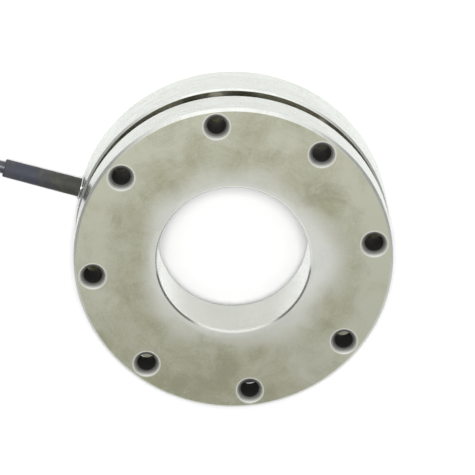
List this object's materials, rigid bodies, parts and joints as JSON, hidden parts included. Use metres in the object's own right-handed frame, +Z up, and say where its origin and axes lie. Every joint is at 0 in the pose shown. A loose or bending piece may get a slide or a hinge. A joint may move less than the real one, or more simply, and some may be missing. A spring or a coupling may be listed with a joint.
{
  "type": "compression force sensor",
  "caption": "Flanged steel ring sensor for compression force, with a wide through bore, countersunk screw holes and a side cable that ends in a round plug.",
  "frame": {"origin": "centre of the base plane, on the load axis", "axes": "+Z up along the load axis from the mounting ring to the load flange; the cable leaves towards -X"},
  "size_m": [0.3056, 0.1633, 0.057],
  "materials": {
    "body_steel": "fine-turned satin",
    "cover_steel": "satin",
    "gauge_film": "thin amber film",
    "circuit_board": "matte lacquer",
    "small_brass": "machined",
    "small_steel": "machined",
    "chip_black": "matte",
    "wire_enamel": "enamel",
    "core_insulation": "smooth",
    "seal_rubber": "matte",
    "sleeve_rubber": "satin",
    "cable_jacket": "satin",
    "tie_fabric": "woven loops",
    "plug_metal": "nickel plate",
    "plug_plastic": "moulded",
    "contact_gold": "gold plate"
  },
  "bodies": {
    "root": {"measuring_body": "body_steel", "cover_ring": "cover_steel", "inner_gauges": "gauge_film", "outer_gauges": "gauge_film", "terminal_board": "circuit_board", "board_spacers": "small_brass", "board_screws": "small_steel", "balance_resistors": "chip_black", "gauge_harness": "wire_enamel", "cable_cores": "core_insulation", "cable_ferrule": "small_steel", "gland_seal": "seal_rubber", "gland_washer": "small_steel", "gland_screw": "small_steel", "strain_relief": "sleeve_rubber", "cable_run": "cable_jacket", "cable_coil": "cable_jacket", "coil_ties": "tie_fabric", "cable_tail": "cable_jacket", "plug_clamp_nut": "plug_metal", "plug_body": "plug_metal", "plug_insert": "plug_plastic", "plug_contacts": "contact_gold", "plug_coupling_nut": "plug_metal", "plug_seal": "seal_rubber"}
  },
  "joints": []
}
